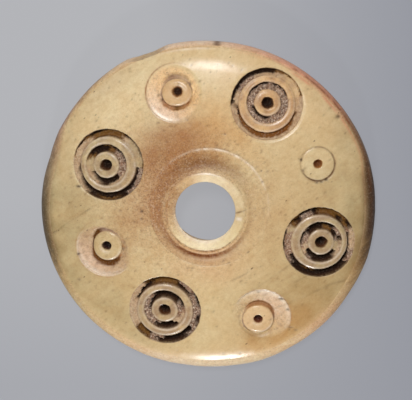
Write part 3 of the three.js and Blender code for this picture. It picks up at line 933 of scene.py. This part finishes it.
def colour_recess(surface, from_edge, inside, turn):
    """The recess's edge, slope and turned lines, with painted shade on the upper slope, and the lip's crest
    with a painted highlight at the top.
    """
    radius = surface.radius
    fine = surface.noise(0.16, 62)
    broken = 0.75 + 0.5 * surface.noise(0.35, 63)
    for gap, reach, edge_turn, spread, strength, patchy, colour, matte in RECESS_EDGE_LINES:
        line = bump(from_edge + gap, reach) * facing(turn, edge_turn, spread)
        surface.paint(strength * line * (broken if patchy else 1), colour, matte)
    surface.paint(0.5 * inside, surface.tint, 0.3)
    slope = inside * smooth(4.1, 4.7, radius) * smooth(6.1, 5.1, radius)
    # The first two bands are painted shade on the recess's upper slope
    for ring, band_turn, spread, strength, least, grain, colour, matte, grit in RECESS_BANDS:
        where = slope if ring is None else bump(radius - ring[0], ring[1])
        lit = least + (1 - least) * facing(turn, band_turn, spread)
        surface.paint(strength * where * lit * (1 + grain * fine), colour, matte, grit)
    crest = smooth(4.02, 3.82, radius)
    surface.paint(0.85 * crest, around(LIP_TINTS, turn), 0.1, 0.1)
    surface.paint(0.4 * crest * facing(turn, 172, 40), BROWN, 0.3, 0.6)
    # Painted highlight along the top of the lip's crest
    surface.paint(0.9 * bump(radius - 3.78, 0.1) * facing(turn, 86, 16), CHALK_AND_HIGHLIGHT, 0.0, 0.1)
    surface.paint(0.4 * crest * lip_dirt(surface.x, surface.y, turn), RUST * 0.8, 0.6)
    mottled = inside * smooth(0.15, 0.75, fine) * (0.2 + 0.5 * facing(turn, 180, 50))
    surface.paint(0.6 * mottled, MAUVE, 0.8)


def lip_dirt(x, y, turn):
    """Where brown dirt shows on the lip: mostly on the viewer's left."""
    return smooth(-0.1, 0.5, noise(x, y, 0.22, 64)) * (0.12 + 0.88 * facing(turn, 168, 42))


def stain(surface):
    patchy = 1 + 0.35 * surface.noise(1.1, 71)
    for (x, y), reaches, turn, strength, colour in STAINS:
        surface.paint(strength * patchy * ellipse(surface.x - x, surface.y - y, reaches, turn), colour)


def pock(surface):
    """The placed spots, and small pores at random."""
    for (x, y), reaches, depth, strength in SPOTS:
        weight = ellipse(surface.x - x, surface.y - y, reaches, 0)
        surface.sink(depth * weight)
        surface.paint(strength * weight, SOOT_AND_SHADE, 0.8)
    draws = np.random.default_rng(PORE_SEED)
    for _ in range(PORES):
        turn, reach = draws.uniform(0, 2 * math.pi), rim_radius * math.sqrt(draws.uniform(0.08, 0.98))
        size, strength = draws.uniform(*PORE_SIZES), draws.uniform(*PORE_STRENGTHS)
        east, north = surface.x - reach * math.cos(turn), surface.y - reach * math.sin(turn)
        near = np.abs(east) + np.abs(north) < 0.8
        weight = np.zeros(len(east))
        weight[near] = ellipse(east[near], north[near], (1.8 * size, size), PORE_TURN)
        surface.sink(PORE_DEPTH * weight)
        surface.paint(0.8 * strength * weight, UMBER)


def score(surface):
    """Hairline cracks and dirt lines that wander a little off straight."""
    flat = np.stack((surface.x, surface.y), -1)
    for start, end, half_width, depth, strength in HAIRLINES:
        span = np.subtract(end, start)
        length = np.hypot(*span)
        heading = span / length
        sideways = np.array((-heading[1], heading[0]))
        along = (flat - start) @ heading
        across = (flat - start) @ sideways + 0.14 * noise(along, along * 0, 1.3, 81)
        broken = 0.75 + 0.5 * noise(along, along * 0, 0.5, 82)
        weight = band(0, length, 0.3, 0.4, along) * bump(across, half_width) * broken
        surface.sink(depth * weight)
        surface.paint(strength * weight, SOOT_AND_SHADE)


def tint_and_shade_rim(surface):
    """Carries the rim's tint and painted shade a little way up the dome, lays a pink fringe along its far
    right edge, and paints a thin highlight along the edge at the top.
    """
    # The rim's tint, with painted shade at the left and right
    surface.paint(rim_share(surface.radius, surface.turn), around(RIM_TINTS_AND_SHADE, surface.turn))
    from_edge = surface.radius - top_edge_radius(surface.turn)
    patchy = smooth(-0.7, 0.4, surface.noise(1.2, 72))
    surface.paint(0.7 * bump(from_edge, 0.18) * facing(surface.turn, 46, 26) * patchy, SALMON)
    # Painted highlight: a thin pale line along the edge at the top
    surface.paint(0.7 * bump(from_edge + 0.08, 0.1) * facing(surface.turn, 97, 9), CHALK_AND_HIGHLIGHT)


def upper_side(flat):
    surface = Surface(flat)
    stain(surface)
    tint_and_shade_rim(surface)
    cut_recess(surface)
    for number, motif in enumerate(LARGE_MOTIFS):
        cut_large_motif(surface, motif, 100 + 30 * number)
    for number, motif in enumerate(SMALL_MOTIFS):
        cut_small_motif(surface, motif, 300 + 30 * number)
    cut_scribed_motif(surface, SCRIBED_MOTIF, 400)
    score(surface)
    pock(surface)
    return surface


def bezier(start, corner, end, share):
    return (1 - share) ** 2 * start + 2 * share * (1 - share) * corner + share ** 2 * end


def rim_rings():
    """Rings of points from the dome's edge over the worn rim and down the side to the underside."""
    turn = np.arange(RIM_STEPS) * 360 / RIM_STEPS
    top = RIM_HEIGHT - wear_at(turn)
    start = shoulder_radius - wear_at(turn)
    rows = []
    for share in np.linspace(0, 1, WEAR_ROWS):
        radius = bezier(start, shoulder_radius, side_radius(top), share)
        rows.append((radius, bezier(dome_height(start), RIM_HEIGHT, top, share)))
    wave = 0.02 * np.abs(noise(turn / 4, turn * 0, 1, 93))
    for share in np.linspace(0, 1, SIDE_ROWS)[1:]:
        height = top * (1 - share) + BASE_EDGE_ROUND * share
        rows.append((side_radius(height) - wave * np.sin(share * math.pi), height))
    foot = side_radius(0)
    for share in np.linspace(0, 1, FOOT_ROWS)[1:]:
        radius = bezier(side_radius(BASE_EDGE_ROUND), foot, foot - BASE_EDGE_ROUND, share)
        rows.append((radius + turn * 0, bezier(BASE_EDGE_ROUND, 0, 0, share) + turn * 0))
    rings = []
    for radius, height in rows:
        radius = np.minimum(radius + rim_drift(radius, turn), flake_radius(turn, height))
        rings.append(np.column_stack((circle(RIM_STEPS) * radius[:, None], height)))
    return rings


def bore_rings():
    """Rings of points from the lip's crest down the bevel and the splayed bore."""
    crest = dome_height(LIP_RADIUS)
    edge = crest - LIP_BEVEL_DEPTH
    rows = [(LIP_RADIUS - inwards, crest - down) for inwards, down in BEVEL_ROWS]
    rows += [(BORE_RADIUS + outwards, edge + up) for outwards, up in BORE_EDGE_ROWS]
    start = rows[-1][1]
    for share in np.linspace(0, 1, BORE_ROWS)[1:]:
        radius = BORE_RADIUS + (BORE_FOOT_RADIUS - BORE_RADIUS - BORE_FOOT_ROUND) * share
        rows.append((radius, start * (1 - share) + BORE_FOOT_ROUND * share))
    rows.append((BORE_FOOT_RADIUS, 0))
    ring = circle(BORE_STEPS)
    return [np.column_stack((ring * radius, np.full(BORE_STEPS, height))) for radius, height in rows]


def under_points():
    """The x and y of a square grid on the underside."""
    columns = np.arange(-rim_radius, rim_radius, UNDER_STEP)
    x, y = np.meshgrid(columns, columns)
    points = np.stack((x.ravel(), y.ravel()), -1)
    reach = np.hypot(*points.T)
    return points[(reach > BORE_FOOT_RADIUS + UNDER_STEP / 2) & (reach < shoulder_radius - UNDER_STEP)]


def triangulate(points, hole_count):
    """Joins flat points into triangles, and leaves the hole open that the first points surround."""
    joined = delaunay_2d_cdt([Vector(point) for point in points], [], [], 0, 1e-7, False)
    vertices, faces = joined[0], np.array(joined[2])
    if len(vertices) != len(points):
        raise ValueError("two points of the surface fall together")
    return faces[~np.all(faces < hole_count, axis=1)]


def row_quads(upper, lower):
    """Quads between two rows of vertex numbers that run the same way round."""
    following, below = np.roll(upper, -1), np.roll(lower, -1)
    return np.stack((upper, lower, below, following), -1)


def hidden_coat(points):
    """The side, the bore and the underside: bone with a broad brown wash."""
    x, y, z = points.T
    reach, turn = polar(x, y)
    coat = Coat(len(points), 0.3, np.full(len(points), 0.3))
    broad = noise(x + z, y - z, 3.0, 101)
    fine = noise(x + 2 * z, y + z, 0.5, 102)
    coat.paint(0.5 * np.clip(0.35 + 0.45 * broad + 0.2 * fine, 0, 1), BROWN)
    side = rim_share(reach, turn) * (reach > BORE_FOOT_RADIUS)
    side = np.where(z < 0.05, 0.4 * side, side)
    # The rim's tint, with its painted shade at the left and right, down the side
    coat.paint(side, around(RIM_TINTS_AND_SHADE, turn + 4 * fine))
    coat.paint(0.6 * side * smooth(0.0, 0.6, fine) * facing(turn, 142, 24), UMBER)
    line = bump(z - RIM_HEIGHT + 0.12, 0.12) * facing(turn, 42, 34)
    coat.paint(0.75 * line * smooth(-0.6, 0.2, fine), RUST * 0.6)
    coat.paint(0.8 * facing(turn, 86.7, 1.3) * (z > 0.4) * (z < RIM_HEIGHT), UMBER)
    colour_bevel(coat, x, y, z, turn)
    return coat


def colour_bevel(coat, x, y, z, turn):
    """The lip's bevel: pale, browner at the left, with a nick and a bright nub at the right, and a painted
    highlight along its edge at the bottom.
    """
    bevel = 0.9 * (np.hypot(x, y) < LIP_RADIUS + 0.01) * smooth(3.5, 4.0, z)
    coat.paint(bevel, around(LIP_TINTS, turn))
    coat.paint(0.35 * bevel * lip_dirt(x, y, turn), RUST * 0.8)
    # Painted highlight along the bevel's lower edge
    lit_edge = bump(z - dome_height(LIP_RADIUS) + LIP_BEVEL_DEPTH, 0.09) * facing(turn, -112, 62)
    coat.paint(0.9 * lit_edge, CHALK_AND_HIGHLIGHT)
    east, north = x - LIP_NICK[0], y - LIP_NICK[1]
    lip = z > CROWN_HEIGHT - 0.6
    coat.paint(0.8 * lip * bump(north - 0.35 * east, 0.09) * bump(east, 0.42), UMBER)
    coat.paint(lip * bump(north + 0.68, 0.16) * bump(east, 0.3), CHALK_AND_HIGHLIGHT)
    coat.grit = np.where(bevel > 0.1, 0.1 + 0.4 * facing(turn, 172, 50), coat.grit)


def whorl_mesh():
    """The whole whorl: rings of points hang from the upper side's outer and inner edges."""
    flat = top_points()
    surface = upper_side(flat)
    parts, quads, ends = [surface.base + surface.shift], [], []
    count = len(flat)
    for rings, upper, inwards in (
        (rim_rings(), BORE_STEPS + np.arange(RIM_STEPS), False), (bore_rings(), np.arange(BORE_STEPS), True),
    ):
        for ring in rings:
            lower = count + np.arange(len(ring))
            quads.append(row_quads(lower, upper) if inwards else row_quads(upper, lower))
            parts.append(ring)
            upper, count = lower, count + len(ring)
        ends.append((upper, ring[:, :2]))
    (foot_numbers, foot), (bore_numbers, bore) = ends
    inner = under_points()
    under = triangulate(np.concatenate((bore, foot, inner)), BORE_STEPS)
    numbers = np.concatenate((bore_numbers, foot_numbers, count + np.arange(len(inner))))
    parts.append(np.column_stack((inner, np.zeros(len(inner)))))
    faces = [triangulate(flat, BORE_STEPS), numbers[under][:, ::-1]] + quads
    return joined_mesh(np.concatenate(parts), faces, [surface, hidden_coat(np.concatenate(parts[1:]))])


def joined_mesh(points, faces, coats):
    """The mesh in metres, with the coats' tint, dullness and grit as attributes."""
    mesh = bpy.data.meshes.new("whorl_carved")
    mesh.from_pydata((points * MM).tolist(), [], [tuple(face) for rows in faces for face in rows.tolist()])
    mesh.validate()
    mesh.polygons.foreach_set("use_smooth", [True] * len(mesh.polygons))
    tint = np.concatenate([coat.tint for coat in coats])
    tint = np.hstack((tint, np.ones((len(tint), 1))))
    matte = np.concatenate([coat.matte for coat in coats])
    grit = np.concatenate([coat.grit for coat in coats])
    mesh.attributes.new("tint", "FLOAT_COLOR", "POINT").data.foreach_set("color", tint.ravel())
    mesh.attributes.new("matte", "FLOAT", "POINT").data.foreach_set("value", matte)
    mesh.attributes.new("grit", "FLOAT", "POINT").data.foreach_set("value", grit)
    return mesh


class Nodes:
    """Short calls for building a node material."""

    def __init__(self, name):
        self.material = bpy.data.materials.new(name)
        self.material.use_nodes = True
        self.tree = self.material.node_tree
        self.shader = self.tree.nodes["Principled BSDF"]

    def add(self, kind, settings=None, **inputs):
        node = self.tree.nodes.new(kind)
        for name, value in (settings or {}).items():
            setattr(node, name, value)
        for name, value in inputs.items():
            self.feed(node.inputs[name.replace("_", " ")], value)
        return node

    def feed(self, socket, value):
        if isinstance(value, bpy.types.NodeSocket):
            self.tree.links.new(value, socket)
        else:
            socket.default_value = value

    def shade(self, inputs):
        for name, value in inputs.items():
            self.feed(self.shader.inputs[name], value)

    def attribute(self, name, output):
        return self.add("ShaderNodeAttribute", {"attribute_name": name}).outputs[output]

    def noise(self, vector, scale, detail, roughness):
        node = self.add("ShaderNodeTexNoise", Vector=vector, Scale=scale, Detail=detail, Roughness=roughness)
        return node.outputs["Fac"]

    def span(self, value, *limits):
        node = self.add("ShaderNodeMapRange", Value=value)
        for name, limit in zip(("From Min", "From Max", "To Min", "To Max"), limits):
            node.inputs[name].default_value = limit
        return node.outputs["Result"]

    def math(self, operation, first, second):
        node = self.add("ShaderNodeMath", {"operation": operation})
        self.feed(node.inputs[0], first)
        self.feed(node.inputs[1], second)
        return node.outputs[0]

    def times(self, first, second):
        return self.math("MULTIPLY", first, second)

    def plus(self, first, second):
        return self.math("ADD", first, second)

    def mix(self, blend, share, first, second):
        node = self.add("ShaderNodeMix", {"data_type": "RGBA", "blend_type": blend})
        self.feed(node.inputs["Factor"], share)
        self.feed(node.inputs[6], first)
        self.feed(node.inputs[7], second)
        return node.outputs[2]


def rgba(colour):
    return (*[float(part) for part in colour], 1.0)


def bone_colour(nodes, place, grain_place, grit, matte):
    """The mesh's tint under blotches, grain, mottling, pale and dark crumbs, and small dots."""
    field = {
        name: nodes.span(nodes.noise(grain_place if name == "grain" else place, *texture), *limits)
        for name, (texture, limits) in BONE_NOISES.items()
    }
    everywhere = nodes.plus(nodes.times(grit, 0.95), 0.13)
    dull = nodes.times(grit, nodes.plus(nodes.times(matte, 0.7), 0.4))
    layers = [
        ("MULTIPLY", field["blotch"], tone(250, 242, 234)),
        ("MULTIPLY", field["grain"], tone(205, 180, 146)),
        ("MULTIPLY", nodes.times(field["mottle"], everywhere), tone(222, 200, 184)),
        ("MIX", nodes.times(field["pale"], dull), tone(236, 212, 188)),
        ("MIX", nodes.times(field["dark"], grit), tone(76, 42, 20)),
    ]
    for scale, least, reach in BONE_DOTS:
        dots = nodes.add("ShaderNodeTexVoronoi", Vector=grain_place, Scale=scale)
        chance = nodes.add("ShaderNodeSeparateColor", Color=dots.outputs["Color"]).outputs[0]
        close = nodes.span(dots.outputs["Distance"], 0.35 * reach, reach, 1.0, 0.0)
        layers.append(("MIX", nodes.times(close, nodes.span(chance, least, 1.0, 0.0, 1.0)), tone(58, 30, 12)))
    colour = nodes.attribute("tint", "Color")
    for blend, share, layer in layers:
        colour = nodes.mix(blend, share, colour, rgba(layer))
    return colour


def bone_gloss(nodes, grain_place, grit, matte):
    """How rough the bone is: polished where handled, dull where dirty or gritty."""
    uneven = nodes.span(nodes.noise(grain_place, 1500, 4, 0.55), 0.3, 0.7, -0.02, 0.05)
    return nodes.plus(nodes.plus(nodes.span(matte, 0.0, 1.0, 0.15, 0.97), uneven), nodes.times(grit, 0.2))


def bone_bumps(nodes, place, grain_place, grit):
    """Fine grain everywhere, and roughness where the bone is gritty."""
    rough = nodes.times(nodes.noise(place, 7000, 3, 0.7), nodes.times(grit, 2.2))
    height = nodes.plus(rough, nodes.times(nodes.noise(grain_place, 1500, 4, 0.6), 0.3))
    return nodes.add("ShaderNodeBump", Height=height, Strength=0.5, Distance=0.03 * MM).outputs["Normal"]


def bone_material():
    nodes = Nodes("old_bone")
    place = nodes.add("ShaderNodeTexCoord").outputs["Object"]
    turned = (0, 0, math.radians(GRAIN_TURN))
    mapping = nodes.add(
        "ShaderNodeMapping", {"vector_type": "TEXTURE"}, Vector=place, Rotation=turned, Scale=GRAIN_STRETCH
    )
    grain_place = mapping.outputs["Vector"]
    matte = nodes.attribute("matte", "Fac")
    grit = nodes.attribute("grit", "Fac")
    nodes.shade({
        "Base Color": bone_colour(nodes, place, grain_place, grit, matte),
        "Roughness": bone_gloss(nodes, grain_place, grit, matte),
        "Normal": bone_bumps(nodes, place, grain_place, grit),
        "IOR": 1.54,
        "Specular IOR Level": 0.25,
        "Subsurface Weight": 0.05,
        "Subsurface Radius": (1.0, 0.6, 0.3),
        "Subsurface Scale": 0.5 * MM,
    })
    return nodes.material


def carved_whorl():
    piece = bpy.data.objects.new("whorl_carved", whorl_mesh())
    bpy.context.scene.collection.objects.link(piece)
    piece.data.materials.append(bone_material())
    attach(piece, "root")
    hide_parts("whorl")


def floor_material():
    """A grey floor that darkens to the right and a little towards the viewer. It glows by its own emission,
    painted light that keeps shadows faint on it.
    """
    nodes = Nodes("pale_floor")
    split = nodes.add("ShaderNodeSeparateXYZ", Vector=nodes.add("ShaderNodeTexCoord").outputs["Object"])
    right = nodes.span(split.outputs["X"], *FLOOR_RIGHT)
    near = nodes.times(nodes.span(split.outputs["Y"], *FLOOR_NEAR), nodes.math("SUBTRACT", 1.0, right))
    colour = nodes.mix("MIX", nodes.plus(right, near), rgba(tone(178, 179, 183)), rgba(tone(150, 152, 160)))
    nodes.shade({
        "Base Color": nodes.mix("MULTIPLY", 1.0, colour, (*FLOOR_DIM, 1.0)),
        "Emission Color": colour,
        "Emission Strength": 0.86,
        "Roughness": 0.9,
        "Specular IOR Level": 0.0,
    })
    return nodes.material


def pale_floor():
    mesh = bpy.data.meshes.new("floor")
    corners = [(-1, -1), (1, -1), (1, 1), (-1, 1)]
    mesh.from_pydata([(x * FLOOR_HALF, y * FLOOR_HALF, 0) for x, y in corners], [], [(0, 1, 2, 3)])
    floor = bpy.data.objects.new("floor", mesh)
    bpy.context.scene.collection.objects.link(floor)
    mesh.materials.append(floor_material())


def soft_light(name, direction, distance, size, power, colour):
    """A rectangular light that faces the whorl, with its length in the upright plane."""
    light = bpy.data.lights.new(name, "AREA")
    light.shape = "RECTANGLE"
    light.size, light.size_y = size
    light.energy = power
    light.color = colour
    lamp = bpy.data.objects.new(name, light)
    aim = Vector(direction).normalized()
    lamp.location = aim * distance
    lamp.rotation_euler = aim.to_track_quat("Z", "Y").to_euler()
    bpy.context.scene.collection.objects.link(lamp)


def studio():
    for light in LIGHTS:
        soft_light(*light)
    world = bpy.data.worlds.new("studio")
    world.use_nodes = True
    background = world.node_tree.nodes["Background"]
    background.inputs["Color"].default_value = WORLD_COLOUR
    background.inputs["Strength"].default_value = WORLD_STRENGTH
    bpy.context.scene.world = world
    bpy.context.scene.view_settings.view_transform = "Standard"


def photo_camera():
    tilt, turn = math.radians(CAMERA_TILT), math.radians(CAMERA_TURN)
    towards = Vector((math.sin(tilt) * math.cos(turn), math.sin(tilt) * math.sin(turn), math.cos(tilt)))
    upward = (Vector((0, 1, 0)) - towards * towards.y).normalized()
    right = upward.cross(towards)
    pixel = PIXEL_SIZE * MM
    aim = right * (PICTURE_CENTRE_PX[0] - ORIGIN_PX[0]) * pixel
    aim += upward * (ORIGIN_PX[1] - PICTURE_CENTRE_PX[1]) * pixel
    data = bpy.data.cameras.new("camera")
    data.sensor_width = SENSOR_WIDTH
    data.lens = SENSOR_WIDTH * CAMERA_DISTANCE / (PICTURE_WIDTH_PX * pixel)
    data.clip_end = CAMERA_CLIP
    camera = bpy.data.objects.new("camera", data)
    turned = Matrix((right, upward, towards)).transposed().to_4x4()
    turned.translation = aim + towards * CAMERA_DISTANCE
    camera.matrix_world = turned
    bpy.context.scene.collection.objects.link(camera)
    bpy.context.scene.camera = camera


photo_camera()
carved_whorl()
pale_floor()
studio()
